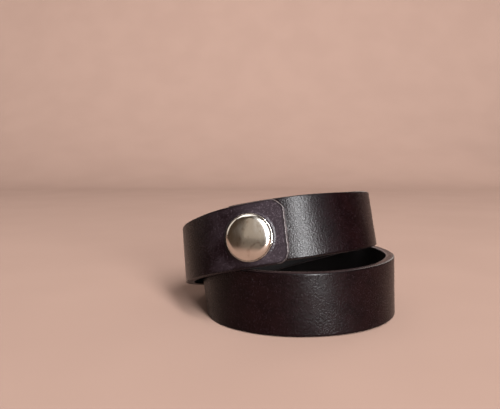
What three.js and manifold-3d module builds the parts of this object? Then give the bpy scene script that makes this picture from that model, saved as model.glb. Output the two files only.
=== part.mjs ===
// Leather wrap bracelet: one strap that goes twice round the wrist and closes with one snap. It stands
// on its edge: the middle of the strap is flat on the table, and both ends climb to lap at the front.
//
// Millimetres and degrees, +Z up, the snap at the front (-Y). A turn of 0 faces the front, and turns grow
// anticlockwise seen from above, through two full turns from the inner end to the outer end.

import * as THREE from 'three';
import { mergeVertices } from 'three/addons/utils/BufferGeometryUtils.js';
import Module from 'manifold-3d';

const wasm = await Module();
wasm.setup();

// The strap.
const WIDTH = 20;
const THICKNESS = 3;
const GRAIN_BEVEL = 0.6;
const FLESH_BEVEL = 0.35;
const INNER_END = -28.5;
const OUTER_END = 732;
const OUTER_TOP_CORNER = { radius: 3.4, fullness: 1.4 };
const INNER_TOP_CORNER = { radius: 0.8, fullness: 2 };
const BOTTOM_CORNER = { radius: 3.6, fullness: 2 };

// How the strap curls: its radius of bend, and how far its upper edge leans out, at each turn.
const CURL = [
  { turn: -45, bend: 35, lean: -14 },
  { turn: 0, bend: 32, lean: -12 },
  { turn: 45, bend: 38, lean: -17 },
  { turn: 90, bend: 26, lean: -8 },
  { turn: 135, bend: 24, lean: -4 },
  { turn: 180, bend: 30.5, lean: 4 },
  { turn: 225, bend: 34, lean: 11 },
  { turn: 270, bend: 35, lean: 8 },
  { turn: 315, bend: 29, lean: 0 },
  { turn: 360, bend: 33, lean: 0 },
  { turn: 405, bend: 37, lean: -7 },
  { turn: 450, bend: 34, lean: 0 },
  { turn: 495, bend: 36, lean: 0 },
  { turn: 540, bend: 37, lean: 8 },
  { turn: 585, bend: 38, lean: 12 },
  { turn: 630, bend: 35, lean: 4 },
  { turn: 675, bend: 30, lean: -9 },
  { turn: 720, bend: 24, lean: -12 },
  { turn: 765, bend: 24, lean: -14 },
];

// Beyond the snap the outer end springs straighter than its curl: the turn where this begins, the turn
// over which it sets in, the share of the curl that is lost, and its lift in mm per squared degree.
const SPRING = { start: 706, ease: 4, share: 0.75, lift: 0.001 };

// How the ends climb from the table: the height under the lower edge at its peak, the turn of the peak,
// and how many degrees of turn the climb takes.
const INNER_CLIMB = { height: 23.6, peak: 40, reach: 238 };
const OUTER_CLIMB = { height: 22.3, peak: 735, reach: 183 };
const LANDED = 400;

// The lap: the snap's turn, its drop below the middle of the outer end, the space between the two ends,
// and how much lower the outer end hangs than the inner one.
const SNAP_TURN = -14.5;
const SNAP_DROP = 0.85;
const LAP_SPACE = 3;
const LAP_DROP = 1.1;

// How far the rivets press the leather flat, and how far along the strap that reaches.
const FLAT = { depth: 0.9, reach: 9 };

// The snap's metal pieces.
const CAP_RADIUS = 7.4;
const CAP_HEIGHT = 2.7;
const CAP_RIM = 1;
const POST_RADIUS = 1.9;
const FOOT_RADIUS = 2.5;
const SOCKET_RADIUS = 6.3;
const FLANGE_RADIUS = 5.5;
const EYELET_RADIUS = 5;
const EYELET_BORE = 1.7;
const CLEARANCE = 0.3;

const ROUTE_STEP = 0.5;
const STATION_STEP = 4.5;
const ROUND_SIDES = 48;

const LEATHER = { color: 0x2a2022, roughness: 0.55, metalness: 0 };
const NICKEL = { color: 0xb9b3a4, roughness: 0.22, metalness: 1 };

const { degToRad, lerp, radToDeg, smoothstep, smootherstep } = THREE.MathUtils;

// A column of the curl table at any turn, eased from row to row.
function curl(turn, column) {
  const spacing = CURL[1].turn - CURL[0].turn;
  const row = Math.min(Math.floor((turn - CURL[0].turn) / spacing), CURL.length - 2);
  const ease = smoothstep(turn, CURL[row].turn, CURL[row + 1].turn);
  return lerp(CURL[row][column], CURL[row + 1][column], ease);
}

// The direction the strap has really reached at a turn of its curl.
function heading(turn) {
  const beyond = Math.max(turn - SPRING.start, 0);
  const eased = Math.min(beyond / SPRING.ease, 1);
  const sprung = SPRING.ease * (eased ** 3 - eased ** 4 / 2) + Math.max(beyond - SPRING.ease, 0);
  return degToRad(turn - SPRING.share * sprung);
}

// The way the strap faces at a turn, level with the table.
function facing(turn) {
  return new THREE.Vector3(Math.sin(heading(turn)), -Math.cos(heading(turn)), 0);
}

// The strap's middle line in plan, walked in small steps of turn, with the length walked.
function walkPlan() {
  const marks = [];
  const here = new THREE.Vector3();
  const stepAngle = degToRad(ROUTE_STEP);
  let length = 0;
  for (let turn = CURL[0].turn; turn < CURL.at(-1).turn; turn += ROUTE_STEP) {
    marks.push({ length, place: here.clone() });
    const middle = turn + ROUTE_STEP / 2;
    const stride = curl(middle, 'bend') * stepAngle;
    here.x += stride * Math.cos(heading(middle));
    here.y += stride * Math.sin(heading(middle));
    length += stride;
  }
  return marks;
}

const PLAN = walkPlan();

function planMark(turn) {
  const steps = (turn - CURL[0].turn) / ROUTE_STEP;
  const index = Math.min(Math.floor(steps), PLAN.length - 2);
  const [before, after] = [PLAN[index], PLAN[index + 1]];
  return {
    place: before.place.clone().lerp(after.place, steps - index),
    length: lerp(before.length, after.length, steps - index),
  };
}

// The height of the lowest corner over the table.
function climb(turn) {
  const end = turn < LANDED ? INNER_CLIMB : OUTER_CLIMB;
  const away = Math.min(Math.abs(turn - end.peak) / end.reach, 1);
  const lifted = SPRING.lift * Math.max(turn - SPRING.start, 0) ** 2;
  return (end.height / 2) * (1 + Math.cos(Math.PI * away)) + lifted;
}

// The rivets press the leather flat near the snap on both ends.
function flattening(turn) {
  const snap = turn < LANDED ? SNAP_TURN : SNAP_TURN + 720;
  const away = (planMark(turn).length - planMark(snap).length) / FLAT.reach;
  return FLAT.depth * Math.exp(-away * away);
}

// The strap's cross-section as [outward, upward] corners, its edges drawn in by a trim at top and bottom.
function sectionCorners(topTrim = 0, bottomTrim = 0) {
  const face = THICKNESS / 2;
  const top = WIDTH / 2 - topTrim;
  const bottom = -WIDTH / 2 + bottomTrim;
  return [
    [face - GRAIN_BEVEL, bottom],
    [face, bottom + GRAIN_BEVEL],
    [face, top - GRAIN_BEVEL],
    [face - GRAIN_BEVEL, top],
    [-face + FLESH_BEVEL, top],
    [-face, top - FLESH_BEVEL],
    [-face, bottom + FLESH_BEVEL],
    [-face + FLESH_BEVEL, bottom],
  ];
}

// The middle of the section at a turn, lifted so that its lowest corner is at the climb's height.
function middle(turn) {
  const lean = degToRad(curl(turn, 'lean'));
  const drops = sectionCorners().map(([out, up]) => out * Math.sin(lean) - up * Math.cos(lean));
  const place = planMark(turn).place;
  place.addScaledVector(facing(turn), -flattening(turn));
  place.z = climb(turn) + Math.max(...drops);
  return place;
}

// The section's frame at a turn: its middle, and its outward and upward directions.
function frameAt(turn, placeOf = middle) {
  const along = placeOf(turn + ROUTE_STEP).sub(placeOf(turn - ROUTE_STEP)).normalize();
  const across = facing(turn).cross(along).normalize();
  const level = along.clone().cross(across).normalize();
  const lean = degToRad(curl(turn, 'lean'));
  return {
    middle: placeOf(turn),
    out: level.clone().multiplyScalar(Math.cos(lean)).addScaledVector(across, -Math.sin(lean)),
    up: across.clone().multiplyScalar(Math.cos(lean)).addScaledVector(level, Math.sin(lean)),
  };
}

// The outer turn is drawn in by the small amount that brings the two halves of the snap onto one axis.
function closingShift() {
  const inner = frameAt(SNAP_TURN);
  const outer = frameAt(SNAP_TURN + 720);
  return inner.middle
    .addScaledVector(outer.out, THICKNESS + LAP_SPACE)
    .addScaledVector(outer.up, -LAP_DROP)
    .sub(outer.middle);
}

const CLOSING = closingShift();
const CLOSING_START = 555;
const CLOSING_END = 700;

function closedMiddle(turn) {
  return middle(turn).addScaledVector(CLOSING, smootherstep(turn, CLOSING_START, CLOSING_END));
}

// How far a rounded corner has drawn the edge in, at a distance from the tip of the strap.
function cornerTrim({ radius, fullness }, fromTip) {
  const left = Math.max(1 - fromTip / radius, 0);
  return radius * (1 - (1 - left ** fullness) ** (1 / fullness));
}

// The turns where sections are set: close together over the rounded corners at both tips, then evenly.
function stationTurns() {
  const tipDistances = [0, 0.3, 0.8, 1.4, 2.1, 2.8, 3.4];
  const inner = tipDistances.map((mm) => INNER_END + radToDeg(mm / curl(INNER_END, 'bend')));
  const outer = tipDistances.map((mm) => OUTER_END - radToDeg(mm / curl(OUTER_END, 'bend')));
  const turns = [...inner];
  const run = outer.at(-1) - inner.at(-1);
  const count = Math.round(run / STATION_STEP);
  for (let i = 1; i < count; i++) turns.push(inner.at(-1) + (run * i) / count);
  return [...turns, ...outer.reverse()];
}

function sectionAt(turn) {
  const frame = frameAt(turn, closedMiddle);
  const [tip, topCorner] = turn < LANDED ? [INNER_END, INNER_TOP_CORNER] : [OUTER_END, OUTER_TOP_CORNER];
  const fromTip = Math.abs(turn - tip) * degToRad(curl(tip, 'bend'));
  const corners = sectionCorners(cornerTrim(topCorner, fromTip), cornerTrim(BOTTOM_CORNER, fromTip));
  return corners.map(([out, up]) =>
    frame.middle.clone().addScaledVector(frame.out, out).addScaledVector(frame.up, up));
}

// A closed surface through a row of sections with the same number of corners, capped at both ends.
function loft(sections) {
  const count = sections[0].length;
  const positions = sections.flat().flatMap((corner) => corner.toArray());
  const index = [];
  for (let s = 0; s < sections.length - 1; s++) {
    for (let c = 0; c < count; c++) {
      const next = (c + 1) % count;
      const [a, b] = [s * count + c, s * count + next];
      const [d, e] = [a + count, b + count];
      index.push(a, d, b, b, d, e);
    }
  }
  const last = (sections.length - 1) * count;
  for (let c = 1; c < count - 1; c++) {
    index.push(0, c, c + 1);
    index.push(last, last + c + 1, last + c);
  }
  const geometry = new THREE.BufferGeometry();
  geometry.setAttribute('position', new THREE.Float32BufferAttribute(positions, 3));
  geometry.setIndex(index);
  return geometry;
}

function toSolid(geometry) {
  const bare = geometry.clone();
  bare.deleteAttribute('normal');
  bare.deleteAttribute('uv');
  const merged = mergeVertices(bare);
  return new wasm.Manifold(new wasm.Mesh({
    numProp: 3,
    vertProperties: new Float32Array(merged.attributes.position.array),
    triVerts: new Uint32Array(merged.index.array),
  }));
}

function toGeometry(solid) {
  const { vertProperties, triVerts } = solid.getMesh();
  const geometry = new THREE.BufferGeometry();
  geometry.setAttribute('position', new THREE.BufferAttribute(vertProperties, 3));
  geometry.setIndex(new THREE.BufferAttribute(triVerts, 1));
  geometry.computeVertexNormals();
  return geometry;
}

// The snap's axis runs out through both ends. Its depths count from the outer face of the outer end.
const SEAT = frameAt(SNAP_TURN + 720, closedMiddle);
SEAT.middle.addScaledVector(SEAT.out, THICKNESS / 2).addScaledVector(SEAT.up, -SNAP_DROP);
const SEAT_TURN = new THREE.Quaternion().setFromUnitVectors(new THREE.Vector3(0, 1, 0), SEAT.out);
const OUTER_FLESH = -THICKNESS;
const INNER_GRAIN = OUTER_FLESH - LAP_SPACE;
const INNER_FLESH = INNER_GRAIN - THICKNESS;

// A punch for a round hole through the leather, from one depth to another.
function punch(radius, from, to) {
  const geometry = new THREE.CylinderGeometry(radius, radius, from - to, ROUND_SIDES / 2);
  geometry.translate(0, (from + to) / 2, 0);
  geometry.applyQuaternion(SEAT_TURN);
  geometry.translate(...SEAT.middle.toArray());
  return toSolid(geometry);
}

function makeStrap() {
  const whole = toSolid(loft(stationTurns().map(sectionAt)));
  const outerHole = punch(POST_RADIUS + CLEARANCE, 2, OUTER_FLESH - LAP_SPACE / 2);
  const innerHole = punch(FOOT_RADIUS + CLEARANCE + 0.1, INNER_GRAIN + 1, INNER_FLESH - 1);
  return toGeometry(whole.subtract(outerHole).subtract(innerHole));
}

// A turned piece, from [radius, depth] corners that go out over its top, down its side and back in.
function turned(profile) {
  const points = profile.map(([radius, depth]) => new THREE.Vector2(radius, depth)).reverse();
  return new THREE.LatheGeometry(points, ROUND_SIDES);
}

// The cap: a shallow dome with a rolled rim, one piece with the post that it drives through the leather.
function makeCap() {
  const domeRadius = CAP_RADIUS - 0.45;
  const dome = [];
  for (let i = 0; i <= 9; i++) {
    const share = i / 9;
    dome.push([domeRadius * share, CAP_RIM + (CAP_HEIGHT - CAP_RIM) * (1 - share ** 2.2)]);
  }
  const foot = OUTER_FLESH - 1.1;
  return turned([
    ...dome,
    [CAP_RADIUS - 0.1, CAP_RIM - 0.15],
    [CAP_RADIUS, CAP_RIM - 0.35],
    [CAP_RADIUS - 0.1, CLEARANCE + 0.1],
    [CAP_RADIUS - 0.35, CLEARANCE],
    [POST_RADIUS, CLEARANCE],
    [POST_RADIUS, foot + 0.15],
    [FOOT_RADIUS, foot],
    [FOOT_RADIUS, foot - 0.3],
    [0, foot - 0.3],
  ]);
}

// The socket: a pressed ring under the outer end, held by the foot of the cap's post.
function makeSocket() {
  const top = OUTER_FLESH - CLEARANCE - 0.1;
  const hole = POST_RADIUS + CLEARANCE;
  const cavity = FLANGE_RADIUS - 1.9;
  return turned([
    [hole, top],
    [SOCKET_RADIUS - 0.3, top - 0.5],
    [SOCKET_RADIUS, top - 0.8],
    [SOCKET_RADIUS - 0.2, top - 1.4],
    [cavity + 0.3, top - 1.5],
    [cavity, top - 1.3],
    [cavity, top - 0.5],
    [hole, top - 0.4],
    [hole, top],
  ]);
}

// The stud: a hollow ball on a flange over the inner end, which the socket closes on.
function makeStud() {
  const flange = INNER_GRAIN + CLEARANCE;
  const bore = FOOT_RADIUS + 0.4;
  return turned([
    [bore, flange],
    [bore, flange + 1.5],
    [bore + 0.25, flange + 1.5],
    [bore + 0.4, flange + 1.2],
    [bore + 0.25, flange + 0.7],
    [bore + 0.6, flange + 0.5],
    [FLANGE_RADIUS - 0.2, flange + 0.5],
    [FLANGE_RADIUS, flange + 0.3],
    [FLANGE_RADIUS - 0.2, flange],
    [bore, flange],
  ]);
}

// The eyelet: a flange inside the bracelet whose barrel comes up through the inner end into the stud.
function makePost() {
  const barrel = FOOT_RADIUS + 0.05;
  const flange = INNER_FLESH - CLEARANCE - 0.1;
  const top = INNER_GRAIN + 1.25;
  return turned([
    [EYELET_BORE, top],
    [barrel, top],
    [barrel, flange],
    [EYELET_RADIUS - 0.3, flange],
    [EYELET_RADIUS, flange - 0.2],
    [EYELET_RADIUS - 0.3, flange - 0.5],
    [EYELET_BORE + 0.5, flange - 0.6],
    [EYELET_BORE, flange - 0.3],
    [EYELET_BORE, top],
  ]);
}

function named(name, geometry, finish) {
  const mesh = new THREE.Mesh(geometry, new THREE.MeshStandardMaterial(finish));
  mesh.name = name;
  return mesh;
}

const snap = new THREE.Group();
snap.position.copy(SEAT.middle);
snap.quaternion.copy(SEAT_TURN);
snap.add(
  named('snap_cap', makeCap(), NICKEL),
  named('snap_socket', makeSocket(), NICKEL),
  named('snap_stud', makeStud(), NICKEL),
  named('snap_post', makePost(), NICKEL),
);

const bracelet = new THREE.Group();
bracelet.add(named('strap', makeStrap(), LEATHER), snap);

// The origin is on the table, under the middle of the bracelet.
bracelet.updateMatrixWorld(true);
const box = new THREE.Box3().setFromObject(bracelet, true);
const centre = box.getCenter(new THREE.Vector3());
bracelet.position.set(-centre.x, -centre.y, -box.min.z);

export default bracelet;
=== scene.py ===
# A leather wrap bracelet, fastened with its press snap and standing on its edge.
import math

import bpy
import numpy as np
from mathutils import Matrix, Vector
from mathutils.kdtree import KDTree


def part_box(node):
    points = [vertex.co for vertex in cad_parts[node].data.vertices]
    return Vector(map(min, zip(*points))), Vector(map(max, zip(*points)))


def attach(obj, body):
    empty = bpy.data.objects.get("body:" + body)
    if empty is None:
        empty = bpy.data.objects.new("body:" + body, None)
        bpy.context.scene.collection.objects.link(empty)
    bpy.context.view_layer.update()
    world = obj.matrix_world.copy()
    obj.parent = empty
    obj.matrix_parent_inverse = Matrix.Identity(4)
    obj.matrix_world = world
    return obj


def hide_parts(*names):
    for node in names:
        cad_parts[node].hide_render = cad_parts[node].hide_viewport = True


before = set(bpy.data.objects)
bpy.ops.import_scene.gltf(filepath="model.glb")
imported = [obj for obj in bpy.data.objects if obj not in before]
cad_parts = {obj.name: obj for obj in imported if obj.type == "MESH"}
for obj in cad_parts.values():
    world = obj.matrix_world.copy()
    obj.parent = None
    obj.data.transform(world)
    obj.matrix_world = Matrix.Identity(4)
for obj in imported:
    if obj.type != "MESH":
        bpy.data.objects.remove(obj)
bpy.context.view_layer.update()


# ---------------------------------------------------------------------------------------------------------
# The strap: one length of dark brown vegetable-tanned leather, 3 mm thick, cut 20 mm wide with its corners
# clipped. Its grain side is dyed and waxed, its edges are rubbed round, and its flesh side is left matt. It
# goes twice round, stands on its lower edge, and the snap closes its outer end over its inner end.

# Lengths are in millimetres until a mesh is made, and places along the strap's path are in degrees of turn.
MM = 0.001
STRAP_WIDTH = 20.0
STRAP_THICKNESS = 3.0
EDGE = STRAP_WIDTH / 2.0
FACE = STRAP_THICKNESS / 2.0
INNER_TIP = -28.5
OUTER_TIP = 732.0
ROUTE_STEP = 0.5

# Each clipped corner: its radius, and how full its curve is, 2 being a quarter circle.
OUTER_TOP_CORNER = (3.4, 1.4)
INNER_TOP_CORNER = (0.8, 2.0)
BOTTOM_CORNER = (3.6, 2.0)

# The lap: the snap's turn, its drop below the middle of the outer end, the space between the two ends, how
# much lower the outer end hangs, and how deep and how far along the rivets press the leather flat.
SNAP_TURN = -14.5
SNAP_DROP = 0.85
LAP_SPACE = 3.0
LAP_DROP = 1.1
FLAT_DEPTH = 0.9
FLAT_REACH = 9.0

# How the strap curls: at each turn round the wrist, its radius of bend, and how many degrees its upper edge
# leans out.
CURL_SPACING = 45.0
CURL = np.array([
    (-45, 35, -14), (0, 32, -12), (45, 38, -17), (90, 26, -8), (135, 24, -4), (180, 30.5, 4),
    (225, 34, 11), (270, 35, 8), (315, 29, 0), (360, 33, 0), (405, 37, -7), (450, 34, 0),
    (495, 36, 0), (540, 37, 8), (585, 38, 12), (630, 35, 4), (675, 30, -9), (720, 24, -12),
    (765, 24, -14),
], dtype=float)

# Beyond the snap the outer end springs straighter: the turn where this begins, the turn over which it sets
# in, the share of the curl that is lost, and its lift in mm per squared degree.
SPRING_START = 706.0
SPRING_EASE = 4.0
SPRING_SHARE = 0.75
SPRING_LIFT = 0.001

# How each end climbs from the table: the height under its lower edge at the peak, the turn of the peak, and
# the turn over which it climbs. Up to LANDED it is the inner end's climb.
INNER_CLIMB = (23.6, 40.0, 238.0)
OUTER_CLIMB = (22.3, 735.0, 183.0)
LANDED = 400.0

# The lowest corner is the one that the climb lifts: how far the solid's bevels cut in on its two sides.
GRAIN_BEVEL = 0.6
FLESH_BEVEL = 0.35

# Where the outer turn begins and ends its slow shift that brings it over the inner end.
CLOSING_START = 555.0
CLOSING_END = 700.0


def eased(share):
    share = np.clip(share, 0.0, 1.0)
    return share * share * (3.0 - 2.0 * share)


def curled(turn, column):
    """A column of the curl at any turn, eased from row to row."""
    row = np.clip(((turn - CURL[0, 0]) // CURL_SPACING).astype(int), 0, len(CURL) - 2)
    ease = eased((turn - CURL[row, 0]) / CURL_SPACING)
    return CURL[row, column] * (1.0 - ease) + CURL[row + 1, column] * ease


def heading(turn):
    """The direction that the strap has really reached at a turn of its curl, in radians."""
    beyond = np.maximum(turn - SPRING_START, 0.0)
    begun = np.minimum(beyond / SPRING_EASE, 1.0)
    sprung = SPRING_EASE * (begun ** 3 - begun ** 4 / 2.0) + np.maximum(beyond - SPRING_EASE, 0.0)
    return np.radians(turn - SPRING_SHARE * sprung)


def unit(vectors):
    return vectors / np.linalg.norm(vectors, axis=-1, keepdims=True)


def strap_directions(middle, facing, lean):
    """The ways outward and upward of each section, square to the middle line."""
    along = unit(np.gradient(middle, axis=0))
    across = unit(np.cross(facing, along))
    level = unit(np.cross(along, across))
    lean = lean[:, None]
    return level * np.cos(lean) - across * np.sin(lean), across * np.cos(lean) + level * np.sin(lean)


def strap_route():
    """The strap's middle line: turns, length so far, places, and the ways outward and upward."""
    turn = np.arange(CURL[0, 0], CURL[-1, 0] + 0.01, ROUTE_STEP)
    half_way = (turn[:-1] + turn[1:]) / 2.0
    stride = curled(half_way, 1) * math.radians(ROUTE_STEP)
    start = np.zeros(1)
    x = np.concatenate([start, np.cumsum(stride * np.cos(heading(half_way)))])
    y = np.concatenate([start, np.cumsum(stride * np.sin(heading(half_way)))])
    length = np.concatenate([start, np.cumsum(stride)])
    facing = np.stack([np.sin(heading(turn)), -np.cos(heading(turn)), 0.0 * turn], 1)

    snap = np.where(turn < LANDED, SNAP_TURN, SNAP_TURN + 720.0)
    from_snap = (length - np.interp(snap, turn, length)) / FLAT_REACH
    pressed = FLAT_DEPTH * np.exp(-from_snap ** 2)

    climbs = zip(INNER_CLIMB, OUTER_CLIMB)
    height, peak, reach = (np.where(turn < LANDED, inner, outer) for inner, outer in climbs)
    climb = height / 2.0 * (1.0 + np.cos(math.pi * np.minimum(np.abs(turn - peak) / reach, 1.0)))
    climb = climb + SPRING_LIFT * np.maximum(turn - SPRING_START, 0.0) ** 2

    lean = np.radians(curled(turn, 2))
    corners = [(FACE - GRAIN_BEVEL, -EDGE), (FACE, GRAIN_BEVEL - EDGE),
               (FLESH_BEVEL - FACE, -EDGE), (-FACE, FLESH_BEVEL - EDGE)]
    drop = np.max([out * np.sin(lean) - up * np.cos(lean) for out, up in corners], axis=0)

    middle = np.stack([x, y, climb + drop], 1) - facing * pressed[:, None]

    out, up = strap_directions(middle, facing, lean)
    inner, outer = (int(round((t - turn[0]) / ROUTE_STEP)) for t in (SNAP_TURN, SNAP_TURN + 720.0))
    meeting = middle[inner] + out[outer] * (STRAP_THICKNESS + LAP_SPACE) - up[outer] * LAP_DROP
    share = np.clip((turn - CLOSING_START) / (CLOSING_END - CLOSING_START), 0.0, 1.0)
    smoother = share ** 3 * (share * (share * 6.0 - 15.0) + 10.0)
    middle = middle + smoother[:, None] * (meeting - middle[outer])
    return turn, length, middle, *strap_directions(middle, facing, lean)


route_turn, route_length, route_middle, route_out, route_up = strap_route()
ROUTE_TO_TIP, ROUTE_TO_SNAP, ROUTE_TO_END = np.interp([INNER_TIP, SNAP_TURN + 720.0, OUTER_TIP],
                                                      route_turn, route_length)
STRAP_LENGTH = ROUTE_TO_END - ROUTE_TO_TIP
OUTER_SNAP = ROUTE_TO_SNAP - ROUTE_TO_TIP


def on_route(values, along):
    """A value of the route at distances along the strap from its inner tip."""
    return np.stack([np.interp(along + ROUTE_TO_TIP, route_length, values[:, i]) for i in range(3)], 1)


def rounding(distance, radius):
    """How far a quarter-round edge has drawn in, at a distance from its end."""
    left = np.clip(1.0 - distance / radius, 0.0, 1.0)
    return radius * (1.0 - np.sqrt(1.0 - left ** 2))


def corner_trim(distance, corner):
    """How far a clipped corner has drawn in, at a distance from the tip."""
    radius, fullness = corner
    left = np.clip(1.0 - distance / radius, 0.0, 1.0)
    return radius * (1.0 - (1.0 - left ** fullness) ** (1.0 / fullness))


# The rubbed edges are a low crown between two tight corners. Each bend: its radius, the angles between
# which it turns, and its steps.
CORNER_TURN = 63.0
RUBBED_BENDS = (
    (0.25, 0.0, CORNER_TURN, 5),
    (3.0, CORNER_TURN, 180.0 - CORNER_TURN, 9),
    (0.25, 180.0 - CORNER_TURN, 180.0, 4),
)
TIP_ROUND = 0.16
GRAIN_STEPS = 88
FLESH_STEPS = 22


def strap_section():
    """The cut section as outward and upward places, from the middle of the grain side right round."""
    rubbed = [(FACE, 0.0)]
    for radius, start, stop, steps in RUBBED_BENDS:
        out, up = rubbed[-1]
        for angle in np.radians(np.linspace(start, stop, steps + 1)[1:]):
            first = math.radians(start)
            rubbed.append((out - radius * (math.cos(first) - math.cos(angle)),
                           up + radius * (math.sin(angle) - math.sin(first))))
    rise = max(up for out, up in rubbed)
    rubbed = [(out, up + EDGE - rise) for out, up in rubbed]
    straight = rubbed[0][1]
    half = [(FACE, up) for up in np.linspace(0.0, straight, GRAIN_STEPS // 2 + 1)[:-1]] + rubbed
    flesh_side = [(-FACE, up) for up in np.linspace(straight, -straight, FLESH_STEPS + 1)[1:-1]]
    lower = [(out, -up) for out, up in reversed(half[1:])]
    return np.array(half + flesh_side + lower)


# Sections stand close over the last stretch to each tip and round the cap, and further apart elsewhere.
TIP_STRETCH = 4.0
TIP_SECTIONS = 25
CAP_STRETCH = 9.6
CAP_STEP = 0.2
CAP_MARGIN = 0.5
PLAIN_STEP = 1.2


def place_stations():
    """Distances along the strap at which its sections stand."""
    near_tip = TIP_STRETCH * (1.0 - np.cos(np.linspace(0.0, math.pi / 2.0, TIP_SECTIONS)))
    near_cap = np.arange(-CAP_STRETCH, CAP_STRETCH + 0.01, CAP_STEP) + OUTER_SNAP
    plain = np.arange(TIP_STRETCH, STRAP_LENGTH - TIP_STRETCH, PLAIN_STEP)
    plain = plain[(plain < near_cap[0] - CAP_MARGIN) | (plain > near_cap[-1] + CAP_MARGIN)]
    near_cap = near_cap[near_cap < STRAP_LENGTH - TIP_STRETCH - CAP_STEP]
    return np.unique(np.concatenate([near_tip, plain, near_cap, STRAP_LENGTH - near_tip]).round(4))


# How far hand work strays: slow and quick waves in the face and the depths over which they set in, the
# edge's wandering cut, the ragged line of a tip and how far back it shows, and the collar round the cap,
# with the distances from its middle over which it rises and falls.
SLOW_WAVES = 0.04
QUICK_WAVES = 0.015
RELIEF_DEPTHS = (0.4, 1.4)
EDGE_WANDER = 0.06
RAGGED_WAVES = 0.10
RAGGED_TEETH = 0.04
RAGGED_REACH = 1.2
COLLAR_HEIGHT = 0.34
COLLAR_RISE = (7.0, 7.4)
COLLAR_FALL = (7.5, 8.3)


def hand_made(along, across):
    """The small unevenness of a strap that has been cut, rubbed and bent by hand."""
    slow = np.sin(along / 7.1 + 0.4 * np.sin(across / 3.7)) * np.sin(along / 17.3 + across / 9.0 + 1.3)
    quick = np.sin(along / 2.9 + across / 2.3 + 0.8) * np.sin(along / 4.7 - across / 3.1)
    return SLOW_WAVES * slow + QUICK_WAVES * quick


def passed(distance, stretch):
    """How much of a stretch has been passed, eased, at a distance."""
    return eased((distance - stretch[0]) / (stretch[1] - stretch[0]))


def cap_collar(along, across):
    """The low collar of leather that the cap's rim has raised round itself."""
    from_cap = np.hypot(along - OUTER_SNAP, across + SNAP_DROP)
    return COLLAR_HEIGHT * passed(from_cap, COLLAR_RISE) * (1.0 - passed(from_cap, COLLAR_FALL))


def edge_wander(along):
    """How far the upper edge's cut wanders."""
    return EDGE_WANDER * np.sin(along / 5.3) * np.sin(along / 11.7 + 2.0)


def ragged_line(across):
    """How far the cut of a tip strays from straight across."""
    waves = np.sin(across * 1.9 + 0.5) * np.sin(across * 0.83 + 1.7)
    return RAGGED_WAVES * waves + RAGGED_TEETH * np.sin(across * 5.1)


def skin_sections(rows, columns):
    """Faces from each section to the next, and one over each tip."""
    index = np.arange(rows * columns).reshape(rows, columns)
    here, there = index[:-1], index[1:]
    sides = np.stack([here, there, np.roll(there, -1, 1), np.roll(here, -1, 1)], -1).reshape(-1, 4)
    return sides.tolist() + [index[0].tolist(), index[-1][::-1].tolist()]


def nearest_edge(stations, from_tip, across, top_trim, bottom_trim):
    """Each point's distance on the face to the nearest cut edge, clipped corners included."""
    nearest = from_tip[:, None]
    from_top = EDGE - top_trim[:, None] - across
    from_bottom = across + EDGE - bottom_trim[:, None]
    for trim, from_side in ((top_trim, from_top), (bottom_trim, from_bottom)):
        slope = np.gradient(trim, stations)
        nearest = np.minimum(nearest, from_side / np.sqrt(1.0 + slope ** 2)[:, None])
    return nearest


def make_strap():
    """The strap's points and faces, and each point's place laid flat and its distance from an edge."""
    stations = place_stations()
    section = strap_section()
    middle, out, up = (on_route(v, stations) for v in (route_middle, route_out, route_up))
    out, up = unit(out), unit(up)
    forward = unit(np.cross(up, out))

    from_tip = np.minimum(stations, STRAP_LENGTH - stations)
    outermost = FACE - rounding(from_tip, TIP_ROUND)
    innermost = -FACE + rounding(from_tip, TIP_ROUND)
    top_trim = np.where(stations < STRAP_LENGTH / 2.0, corner_trim(from_tip, INNER_TOP_CORNER),
                        corner_trim(from_tip, OUTER_TOP_CORNER))
    bottom_trim = corner_trim(from_tip, BOTTOM_CORNER)
    through = (section[:, 0] + FACE)[None] / STRAP_THICKNESS
    depth = innermost[:, None] + through * (outermost - innermost)[:, None]
    upper = section[:, 1][None] > 0.0
    across = section[:, 1][None] * (1.0 - np.where(upper, top_trim[:, None], bottom_trim[:, None]) / EDGE)
    along = np.repeat(stations[:, None], len(section), 1)

    # Hand work shows most on the grain side, along the upper edge, and at the very tips.
    relief = hand_made(along, across) + cap_collar(along, across)
    relief = relief * passed(section[:, 0], RELIEF_DEPTHS)[None]
    wander = edge_wander(along) * np.maximum(section[:, 1], 0.0)[None] / EDGE
    tip_side = np.sign(stations - STRAP_LENGTH / 2.0)
    beyond = (tip_side * np.exp(-from_tip / RAGGED_REACH))[:, None] * ragged_line(across)
    points = (middle[:, None] + out[:, None] * (depth + relief)[..., None]
              + up[:, None] * (across + wander)[..., None] + forward[:, None] * beyond[..., None])

    flat = np.stack([along, across, depth], -1)
    from_edge = nearest_edge(stations, from_tip, across, top_trim, bottom_trim)
    return points.reshape(-1, 3), skin_sections(*depth.shape), flat.reshape(-1, 3), from_edge.ravel()


def add_mesh(name, points, faces):
    mesh = bpy.data.meshes.new(name)
    mesh.from_pydata((points * MM).tolist(), [], faces)
    mesh.validate()
    mesh.shade_smooth()
    piece = bpy.data.objects.new(name, mesh)
    bpy.context.scene.collection.objects.link(piece)
    return piece


strap_points, strap_faces, strap_flat, strap_edge = make_strap()

# The strap is set down where its solid stands.
solid_low, solid_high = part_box("strap")
set_down = (np.array(solid_low) + np.array(solid_high)) / 2.0 / MM
set_down = set_down - (strap_points.min(0) + strap_points.max(0)) / 2.0
set_down[2] = -route_middle[:, 2].min() + STRAP_WIDTH / 2.0
strap_points = strap_points + set_down
strap = add_mesh("strap_leather", strap_points, strap_faces)

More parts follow.
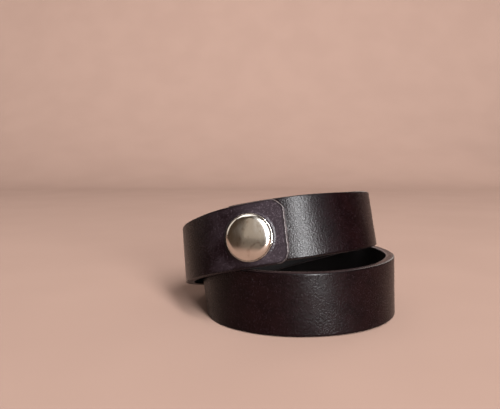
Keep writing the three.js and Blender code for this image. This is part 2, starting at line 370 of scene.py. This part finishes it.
# The snap's axis runs straight out through both ends. Depths on it count outward from the outer end's face.
snap_out = unit(on_route(route_out, np.array([OUTER_SNAP])))[0]
snap_up = unit(on_route(route_up, np.array([OUTER_SNAP])))[0]
snap_seat = (on_route(route_middle, np.array([OUTER_SNAP]))[0] + set_down
             + snap_out * FACE - snap_up * SNAP_DROP)
snap_turned = Vector((0, 0, 1)).rotation_difference(Vector(snap_out)).to_matrix().to_4x4()
SNAP_AXIS = Matrix.Translation(Vector(snap_seat * MM)) @ snap_turned


PUNCH_SIDES = 48


def punch_hole(piece, radius, high, low):
    """A round hole on the snap's axis, from a high depth to a low one."""
    turn = np.linspace(0.0, 2.0 * math.pi, PUNCH_SIDES, endpoint=False)
    ring = np.stack([radius * np.cos(turn), radius * np.sin(turn)], 1)
    rings = [np.column_stack([ring, np.full(PUNCH_SIDES, depth)]) for depth in (low, high)]
    follows = [(i + 1) % PUNCH_SIDES for i in range(PUNCH_SIDES)]
    faces = [[i, j, PUNCH_SIDES + j, PUNCH_SIDES + i] for i, j in enumerate(follows)]
    faces += [list(range(PUNCH_SIDES))[::-1], list(range(PUNCH_SIDES, 2 * PUNCH_SIDES))]
    cutter = add_mesh("punch", np.concatenate(rings), faces)
    cutter.matrix_world = SNAP_AXIS
    cut = piece.modifiers.new("punch", "BOOLEAN")
    cut.operation = "DIFFERENCE"
    cut.solver = "EXACT"
    cut.object = cutter
    bpy.context.view_layer.update()
    finished = bpy.data.meshes.new_from_object(piece.evaluated_get(bpy.context.evaluated_depsgraph_get()))
    piece.modifiers.clear()
    piece.data = finished
    bpy.data.objects.remove(cutter)


punch_hole(strap, radius=2.2, high=2.0, low=-4.5)
punch_hole(strap, radius=2.9, high=-5.0, low=-10.0)


def lay_flat(piece, points, flat, from_edge):
    """Marks each point with its place on the uncurled strap and its distance from an edge."""
    nearest = KDTree(len(points))
    for i, point in enumerate(points * MM):
        nearest.insert(point, i)
    nearest.balance()
    found = [nearest.find(vertex.co)[1] for vertex in piece.data.vertices]
    marks = piece.data.attributes
    marks.new("lay_flat", "FLOAT_VECTOR", "POINT").data.foreach_set("vector", flat[found].ravel())
    marks.new("from_edge", "FLOAT", "POINT").data.foreach_set("value", from_edge[found])


lay_flat(strap, strap_points, strap_flat, strap_edge)


class Wire:
    """One output of a material's nodes. Sums and products of these add Math nodes."""

    def __init__(self, socket):
        self.socket = socket

    @classmethod
    def node(cls, tree, kind, settings=None, sockets=None, output=0):
        """Adds a node, makes its settings, fills or links its sockets, and gives one of its outputs."""
        node = tree.nodes.new(kind)
        for name, value in (settings or {}).items():
            setattr(node, name, value)
        for name, value in (sockets or {}).items():
            if isinstance(value, Wire):
                tree.links.new(value.socket, node.inputs[name])
            else:
                node.inputs[name].default_value = value
        return cls(node.outputs[output])

    def add(self, kind, settings=None, sockets=None, output=0):
        return Wire.node(self.socket.id_data, kind, settings, sockets, output)

    def maths(self, operation, *values):
        return self.add("ShaderNodeMath", {"operation": operation}, dict(enumerate(values)))

    def __add__(self, other):
        return self.maths("ADD", self, other)

    __radd__ = __add__

    def __sub__(self, other):
        return self.maths("SUBTRACT", self, other)

    def __rsub__(self, other):
        return self.maths("SUBTRACT", other, self)

    def __mul__(self, other):
        return self.maths("MULTIPLY", self, other)

    __rmul__ = __mul__

    def size(self):
        return self.maths("ABSOLUTE", self)

    def least(self, other):
        return self.maths("MINIMUM", self, other)

    def between(self, low, high):
        """0 below low, 1 above high, and eased between them."""
        return self.add("ShaderNodeMapRange", {"interpolation_type": "SMOOTHSTEP"},
                        {"Value": self, "From Min": low, "From Max": high})

    def tint(self, first, second):
        """The first colour where this is 0, and the second where it is 1."""
        colours = [c if isinstance(c, Wire) else (*c, 1.0) for c in (first, second)]
        return self.add("ShaderNodeMix", {"data_type": "RGBA"},
                        {"Factor": self, 6: colours[0], 7: colours[1]}, 2)

    def scaled(self, x, y, z):
        """A place stretched along its three ways."""
        return self.add("ShaderNodeVectorMath", {"operation": "MULTIPLY"}, {0: self, 1: (x, y, z)})


def new_finish(name):
    """An empty material, its node tree and its main shader."""
    finish = bpy.data.materials.new(name)
    finish.use_nodes = True
    return finish, finish.node_tree, finish.node_tree.nodes["Principled BSDF"]


def noise(place, scale, detail=2.0, roughness=0.5):
    return place.add("ShaderNodeTexNoise", None,
                     {"Vector": place, "Scale": scale, "Detail": detail, "Roughness": roughness})


def cells(place, scale):
    """The distance to the nearest of many scattered points, so that each has a cell round it."""
    return place.add("ShaderNodeTexVoronoi", None, {"Vector": place, "Scale": scale}, "Distance")


# How many to the millimetre: the grain's pebbles, the finer ones between them, and its pores.
PEBBLES = 1.7
FINE_PEBBLES = 3.3
PORES = 4.2

# The bloom of handling sets in twice, between these distances from the outer tip: in patches before the
# cap, and all over after it. It is partly painted light: the outer end is painted lighter and greyer, for
# the sky light that it catches. The raw line, partly a painted highlight, shows at a tip only, up to the
# last distance.
BLOOM_AND_LIGHT_BEFORE_CAP = (31.0, 19.0)
BLOOM_AND_LIGHT_AFTER_CAP = (17.0, 7.0)
RAW_AND_HIGHLIGHT_REACH = (4.2, 3.4)

# Colours of the grain side: the dye where dark, where lighter and in its clouds, the worn tops of the
# pebbles, the bloom of handling with painted light in the hollows and on the tops, and the dark line rubbed
# along an edge.
DYE_DARK = (0.0010, 0.0001, 0.0002)
DYE_LIGHT = (0.0020, 0.0004, 0.0005)
DYE_CLOUD = (0.0030, 0.0009, 0.0011)
WORN_TOPS = (0.013, 0.0075, 0.0095)
BLOOM_AND_LIGHT_HOLLOWS = (0.0110, 0.0078, 0.0094)
BLOOM_AND_LIGHT_TOPS = (0.0370, 0.0285, 0.0325)
RUBBED_LINE = (0.0012, 0.0005, 0.0006)

# Colours of the cut edges, with a painted highlight along their inner corner, and of the flesh side, of the
# raw line round a tip, partly a painted highlight, and of lint in the grain.
EDGE_DARK = (0.006, 0.0032, 0.0032)
EDGE_LIGHT = (0.018, 0.011, 0.011)
EDGE_CORNER_HIGHLIGHT = (0.075, 0.058, 0.056)
FLESH_DARK = (0.0010, 0.0007, 0.0007)
FLESH_LIGHT = (0.0030, 0.0021, 0.0021)
RAW_LINE_AND_HIGHLIGHT = (0.110, 0.094, 0.092)
LINT = (0.032, 0.030, 0.030)


def finish_strap():
    finish, tree, shader = new_finish("strap_leather")
    flat = Wire.node(tree, "ShaderNodeAttribute", {"attribute_name": "lay_flat"}, output="Vector")
    from_edge = Wire.node(tree, "ShaderNodeAttribute", {"attribute_name": "from_edge"}, output="Fac")
    along, depth = (flat.add("ShaderNodeSeparateXYZ", None, {"Vector": flat}, way) for way in ("X", "Z"))

    # Which part of the strap this is: grain side, cut edge or flesh side, near a tip, or rubbed at an edge.
    grain_side = depth.between(1.10, 1.36)
    flesh_side = 1.0 - depth.between(-1.47, -1.36)
    cut_edge = (1.0 - grain_side) * (1.0 - flesh_side)
    from_tip = STRAP_LENGTH / 2.0 - (along - STRAP_LENGTH / 2.0).size()
    rubbed = from_edge.between(1.1, 0.25) * grain_side

    patches = noise(flat, 0.16, 3.0)
    clouds = noise(flat, 0.7, 3.0)
    pores = noise(flat, PORES, 3.0, 0.7)
    pebbles = cells(flat, PEBBLES)
    fine_pebbles = cells(flat, FINE_PEBBLES)
    fibres = noise(flat.scaled(0.6, 2.0, 5.0), 1.8, 4.0, 0.7)
    nap = noise(flat, 3.0, 4.0, 0.7)

    # The dye is cloudy, and worn off the tops of the pebbles.
    dye = patches.between(0.3, 0.7).tint(DYE_DARK, DYE_LIGHT)
    dye = (clouds.between(0.45, 0.75) * 0.5).tint(dye, DYE_CLOUD)
    worn = (pebbles.between(0.45, 0.05) * pores.between(0.45, 0.65)).tint(dye, WORN_TOPS)

    # The end that the fingers pull open has a greyish bloom, partly painted light: it is painted lighter
    # and greyer for the sky light it catches, above the shaded turn under it. Its rubbed edges stay dark.
    from_outer_tip = STRAP_LENGTH - along
    patchy = 0.10 + 0.35 * patches.between(0.35, 0.65)
    handled_and_lit = from_outer_tip.between(*BLOOM_AND_LIGHT_BEFORE_CAP) * patchy
    handled_and_lit = handled_and_lit + 0.65 * from_outer_tip.between(*BLOOM_AND_LIGHT_AFTER_CAP)
    # Painted light: the lighter, greyer pebble tops stand in for the sky light that the outer end catches.
    bloom_and_painted_light = (pebbles.between(0.50, 0.12) * pores.between(0.35, 0.6)).tint(BLOOM_AND_LIGHT_HOLLOWS, BLOOM_AND_LIGHT_TOPS)
    grain = handled_and_lit.least(1.0).tint(worn, bloom_and_painted_light)
    grain = (rubbed * 0.7).tint(grain, RUBBED_LINE)

    # A tip shows a broken line of raw leather, partly a painted highlight where the grain-side corner of
    # the cut catches the light, and here and there a grain of lint is caught.
    raw_and_highlight = from_edge.between(0.33, 0.15) * from_tip.between(*RAW_AND_HIGHLIGHT_REACH)
    raw_and_highlight = raw_and_highlight * depth.between(0.75, 1.1) * fibres.between(0.40, 0.60)
    lint = cells(flat, 0.15).between(0.034, 0.022) * patches.between(0.45, 0.55) * grain_side

    # The rubbed edge is dark on the grain side's half, with a painted highlight: a paler line along its
    # inner corner, where the rounded corner catches the light.
    edge_dye_and_highlight = fibres.between(0.35, 0.7).tint(EDGE_DARK, EDGE_LIGHT)
    inner_corner_highlight = depth.between(-0.35, -1.15)
    # Painted highlight: a paler line along the cut edge's inner corner.
    edge_dye_and_highlight = (inner_corner_highlight * fibres.between(0.3, 0.55)).tint(edge_dye_and_highlight, EDGE_CORNER_HIGHLIGHT)
    flesh_dye = nap.between(0.3, 0.75).tint(FLESH_DARK, FLESH_LIGHT)
    colour = cut_edge.tint(grain, edge_dye_and_highlight)
    colour = flesh_side.tint(colour, flesh_dye)
    # Painted highlight: the raw line is pale partly to stand in for the light caught by each tip's corner.
    colour = raw_and_highlight.tint(colour, RAW_LINE_AND_HIGHLIGHT)
    colour = lint.tint(colour, LINT)

    # The tops of the pebbles are polished, and the flesh side is matt.
    polished = pebbles.between(0.55, 0.15) * pores.between(0.35, 0.60)
    gloss = 0.285 + 0.04 * clouds - 0.15 * polished - 0.04 * rubbed + 0.25 * raw_and_highlight
    roughness = gloss + flesh_side * 0.5

    # Each pebble is a low dome, flattened by rubbing near an edge.
    domes = 1.1 - 0.65 * pebbles - 0.45 * fine_pebbles
    grain_height = (domes - 0.12 * pores) * grain_side
    edge_height = 0.35 * fibres * cut_edge
    flesh_height = 0.9 * nap * flesh_side
    height = grain_height * (1.0 - 0.6 * rubbed) + edge_height + flesh_height

    bump = flat.add("ShaderNodeBump", None, {"Strength": 0.8, "Distance": 0.00009, "Height": height})
    tree.links.new(colour.socket, shader.inputs["Base Color"])
    tree.links.new(roughness.socket, shader.inputs["Roughness"])
    tree.links.new(bump.socket, shader.inputs["Normal"])
    shader.inputs["Specular IOR Level"].default_value = 0.10
    return finish


strap.data.materials.append(finish_strap())
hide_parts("strap")
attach(strap, "root")


# ---------------------------------------------------------------------------------------------------------
# The cap: a 15 mm domed cap of nickel-plated brass with a beaded rim. Its post goes through the outer end
# of the strap, and its rim is pressed into the grain. It is polished, and a little scuffed by wear.

CAP_RADIUS = 7.4
CAP_HEIGHT = 2.5
DOME_RADIUS = 33.0
SHOULDER_START = 5.5
SHOULDER_DROP = 1.4
BEAD_RADIUS = 0.12

# Radius and depth down the post and round its clinched foot.
CAP_POST = [
    (2.2, 0.30), (1.9, 0.1), (1.9, -3.7), (2.15, -4.0), (2.5, -4.12), (2.5, -4.38), (2.3, -4.4),
    (0.0, -4.4),
]


def cap_profile():
    """Radius and depth from the top of the dome, over the shoulder, round the bead and down the post."""
    dome = [(r, CAP_HEIGHT - DOME_RADIUS + math.sqrt(DOME_RADIUS ** 2 - r ** 2))
            for r in np.linspace(0.0, SHOULDER_START, 19)]
    slope = math.tan(math.asin(SHOULDER_START / DOME_RADIUS))
    reach = CAP_RADIUS - 1.6 * BEAD_RADIUS - SHOULDER_START
    shoulder = []
    for share in np.linspace(0.0, 1.0, 15)[1:]:
        angle = share * math.pi / 2.0
        down = SHOULDER_DROP * (1.0 - math.cos(angle)) + slope * reach * math.sin(angle) * (1.0 - share)
        shoulder.append((SHOULDER_START + reach * math.sin(angle), dome[-1][1] - down))
    low = shoulder[-1][1]
    bead = [(CAP_RADIUS - BEAD_RADIUS * (1.0 - math.sin(a)), low - BEAD_RADIUS * (0.8 - math.cos(a)))
            for a in np.linspace(-0.6, math.pi, 13)]
    under = [(CAP_RADIUS - 0.6, bead[-1][1] - 0.01), (5.2, 0.32)]
    return dome + shoulder + bead + under + CAP_POST


def turn_on_axis(name, profile, sides=128):
    """A round piece turned from its profile, on the snap's axis."""
    angle = np.linspace(0.0, 2.0 * math.pi, sides, endpoint=False)
    points, rings = [], []
    for radius, depth in profile:
        if radius < 1e-6:
            rings.append([len(points)] * sides)
            points.append((0.0, 0.0, depth))
        else:
            rings.append(list(range(len(points), len(points) + sides)))
            points.extend((radius * math.cos(a), radius * math.sin(a), depth) for a in angle)
    faces = []
    for upper, lower in zip(rings, rings[1:]):
        for i in range(sides):
            j = (i + 1) % sides
            corners = [upper[i], lower[i], lower[j], upper[j]]
            # Where a ring is a single point, a face has three corners.
            faces.append(list(dict.fromkeys(corners)))
    piece = add_mesh(name, np.array(points), faces)
    piece.data.transform(SNAP_AXIS)
    return piece


BRIGHT_PLATE = (0.65, 0.605, 0.54)
BLOTCHED_SHARES = (0.62, 0.50, 0.42)


def finish_nickel(name, plate, roughness, scuffs):
    """Nickel plate with upright smears and hairlines, a little haze, and blotches where it is scuffed."""
    finish, tree, shader = new_finish(name)
    place = Wire.node(tree, "ShaderNodeTexCoord", None, None, "Object")
    smears = noise(place.scaled(1.0, 1.0, 0.45), 260.0, 3.0, 0.55)
    haze = noise(place, 900.0)
    blotches = noise(place, 520.0).between(0.58, 0.72)
    hairlines = noise(place.scaled(1.0, 1.0, 0.06), 5200.0, 2.0, 0.6)
    smeared = tuple(0.90 * c for c in plate)
    blotched = tuple(c * share for c, share in zip(plate, BLOTCHED_SHARES))
    colour = smears.between(0.35, 0.7).tint(plate, smeared)
    colour = (blotches * scuffs * 0.5).tint(colour, blotched)
    gloss = roughness + (0.10 * smears.between(0.45, 0.75) + 0.05 * haze) * scuffs
    bump = place.add("ShaderNodeBump", None, {
        "Strength": 0.25, "Distance": 0.00001,
        "Height": hairlines * 0.3 + smears * 1.5 * scuffs + haze * 0.3})
    tree.links.new(colour.socket, shader.inputs["Base Color"])
    tree.links.new(gloss.socket, shader.inputs["Roughness"])
    tree.links.new(bump.socket, shader.inputs["Normal"])
    shader.inputs["Metallic"].default_value = 1.0
    return finish


cap = turn_on_axis("snap_cap_dome", cap_profile())
cap.data.materials.append(finish_nickel("polished_nickel", BRIGHT_PLATE, roughness=0.13, scuffs=1.0))
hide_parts("snap_cap")
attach(cap, "root")


# ---------------------------------------------------------------------------------------------------------
# The rest of the snap: a pressed socket under the outer end, clinched by the cap's post, and the stud that
# it closes on, over the inner end. An eyelet, flanged inside the bracelet, comes through the leather to
# hold the stud. All are thin nickel-plated pressings with rolled edges, duller than the cap.

# Radius and depth round the section of each pressing.
SOCKET = [
    (2.2, -3.42), (4.2, -3.42), (5.3, -3.52), (6.0, -3.72), (6.25, -4.0), (6.3, -4.25), (6.2, -4.55),
    (5.9, -4.72), (5.4, -4.72), (5.1, -4.6), (4.9, -4.62), (4.5, -4.82), (4.0, -4.88), (3.72, -4.8),
    (3.6, -4.6), (3.62, -4.3), (3.6, -4.05), (3.4, -3.88), (3.0, -3.82), (2.2, -3.8), (2.2, -3.42),
]
STUD = [
    (2.95, -4.2), (3.15, -4.22), (3.28, -4.36), (3.3, -4.52), (3.22, -4.76), (3.2, -5.0), (3.34, -5.16),
    (3.7, -5.22), (4.6, -5.26), (5.15, -5.32), (5.42, -5.44), (5.46, -5.56), (5.3, -5.68), (4.6, -5.7),
    (2.95, -5.7), (2.9, -5.6), (2.9, -4.3), (2.95, -4.2),
]
EYELET = [
    (1.7, -4.9), (1.85, -4.78), (2.2, -4.75), (2.5, -4.85), (2.55, -5.1), (2.55, -9.3), (4.7, -9.35),
    (4.95, -9.45), (4.98, -9.6), (4.85, -9.76), (4.5, -9.86), (3.4, -9.98), (2.5, -10.0), (2.0, -9.9),
    (1.78, -9.7), (1.7, -9.4), (1.7, -4.9),
]

PRESSINGS = (
    ("snap_socket_ring", SOCKET, "snap_socket"),
    ("snap_stud_ball", STUD, "snap_stud"),
    ("snap_eyelet", EYELET, "snap_post"),
)

DULL_PLATE = (0.60, 0.565, 0.51)

dull_nickel = finish_nickel("pressed_nickel", DULL_PLATE, roughness=0.24, scuffs=0.8)
for name, profile, solid in PRESSINGS:
    pressing = turn_on_axis(name, profile, sides=96)
    pressing.data.materials.append(dull_nickel)
    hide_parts(solid)
    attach(pressing, "root")


# ---------------------------------------------------------------------------------------------------------
# The table and its sweep: one wide sheet of pale warm paper that lies under the bracelet and curves up
# behind it. It isn't part of the object, and its sizes are in metres.

SWEEP_FRONT = 1.4
SWEEP_FLOOR = 0.75
SWEEP_BEND = 0.6
SWEEP_TOP = 1.3
SWEEP_HALF_WIDTH = 2.0
PAPER = (0.178, 0.117, 0.093)
PAPER_CLOUD = (0.185, 0.122, 0.097)


def make_sweep():
    line = [(-SWEEP_FRONT, 0.0), (SWEEP_FLOOR, 0.0)]
    line += [(SWEEP_FLOOR + SWEEP_BEND * math.sin(a), SWEEP_BEND * (1.0 - math.cos(a)))
             for a in np.linspace(0.0, math.pi / 2.0, 25)[1:]]
    line.append((SWEEP_FLOOR + SWEEP_BEND, SWEEP_TOP))
    points = [(x, y, z) for y, z in line for x in (-SWEEP_HALF_WIDTH, SWEEP_HALF_WIDTH)]
    faces = [(2 * i, 2 * i + 1, 2 * i + 3, 2 * i + 2) for i in range(len(line) - 1)]
    return add_mesh("paper_sweep", np.array(points) / MM, faces)


def finish_paper():
    finish, tree, shader = new_finish("pale_paper")
    place = Wire.node(tree, "ShaderNodeTexCoord", None, None, "Object")
    tooth = noise(place, 900.0, 3.0)
    clouds = noise(place, 14.0)
    colour = clouds.between(0.3, 0.7).tint(PAPER, PAPER_CLOUD)
    bump = tooth.add("ShaderNodeBump", None, {"Strength": 0.12, "Distance": 0.0001, "Height": tooth})
    tree.links.new(colour.socket, shader.inputs["Base Color"])
    tree.links.new(bump.socket, shader.inputs["Normal"])
    shader.inputs["Roughness"].default_value = 0.9
    shader.inputs["Specular IOR Level"].default_value = 0.0
    return finish


sweep = make_sweep()
sweep.data.materials.append(finish_paper())


# ---------------------------------------------------------------------------------------------------------
# The studio, in metres: a tall bright window on the right with a brighter sill and a wide pale curtain, a
# warm fill behind the camera's left shoulder, a dim wall far left, a light behind on the right, and a
# ceiling over the back. The camera stands low in front and looks slightly down.


def add_panel(name, place, towards, width, height, brightness, colour):
    """A soft panel of light. At a brightness of 1 it looks pure white."""
    light = bpy.data.lights.new(name, "AREA")
    light.shape = "RECTANGLE"
    light.size, light.size_y = width, height
    light.energy = brightness * math.pi * width * height
    light.color = colour
    panel = bpy.data.objects.new(name, light)
    bpy.context.scene.collection.objects.link(panel)
    panel.location = place
    panel.rotation_euler = (Vector(place) - Vector(towards)).to_track_quat("Z", "Y").to_euler()


def add_upright(name, azimuth, distance, low, high, width, brightness, colour):
    """An upright panel that faces the bracelet. Its azimuth is in degrees, to the right of the front."""
    turn, middle = math.radians(azimuth), (low + high) / 2.0
    place = (distance * math.sin(turn), -distance * math.cos(turn), middle)
    add_panel(name, place, (0.0, 0.0, middle), width, high - low, brightness, colour)


DAYLIGHT = (0.985, 0.99, 1.0)
PALE_BLUE = (0.90, 0.93, 1.0)
PALE_CREAM = (1.0, 0.95, 0.90)
WARM = (1.0, 0.88, 0.76)
PALE_ROSE = (0.98, 0.96, 0.96)
ROOM_GLOW = (1.0, 0.64, 0.40, 1.0)

# Each upright light: azimuth, distance, foot, top, width, brightness and colour.
UPRIGHTS = {
    "window": (22, 1.5, 0.36, 2.6, 0.36, 80.0, DAYLIGHT),
    "window_sill": (23, 1.5, 0.03, 0.36, 0.38, 120.0, DAYLIGHT),
    "window_curtain": (27, 1.9, 0.60, 3.6, 2.85, 2.7, PALE_BLUE),
    "left_wall": (-118, 1.8, 0.22, 1.5, 1.1, 1.2, PALE_CREAM),
    "fill_high": (-26, 2.0, 0.42, 2.1, 0.98, 0.44, WARM),
    "fill_low": (-27, 2.0, -0.18, 0.40, 0.90, 0.13, WARM),
    "back_light": (142, 1.15, 0.25, 0.95, 0.35, 4.2, PALE_CREAM),
}
for name, sizes in UPRIGHTS.items():
    add_upright(name, *sizes)
add_panel("ceiling", place=(-0.35, 0.95, 1.8), towards=(-0.2, 0.80, 0.0),
          width=2.8, height=1.4, brightness=2.2, colour=PALE_ROSE)

surround = bpy.data.worlds.new("surround")
surround.use_nodes = True
background = surround.node_tree.nodes["Background"]
background.inputs["Color"].default_value = ROOM_GLOW
background.inputs["Strength"].default_value = 0.07
bpy.context.scene.world = surround
bpy.context.scene.view_settings.view_transform = "Standard"

CAMERA_PLACE = (-0.01399, -0.18809, 0.05370)
CAMERA_DIP = 4.95
SENSOR_WIDTH = 36.0
FOCAL_LENGTH = 36.8352

lens = bpy.data.cameras.new("camera")
lens.sensor_fit = "HORIZONTAL"
lens.sensor_width = SENSOR_WIDTH
lens.lens = FOCAL_LENGTH
lens.clip_start = 0.01
camera = bpy.data.objects.new("camera", lens)
camera.location = CAMERA_PLACE
camera.rotation_euler = (math.radians(90.0 - CAMERA_DIP), 0.0, 0.0)
bpy.context.scene.collection.objects.link(camera)
bpy.context.scene.camera = camera
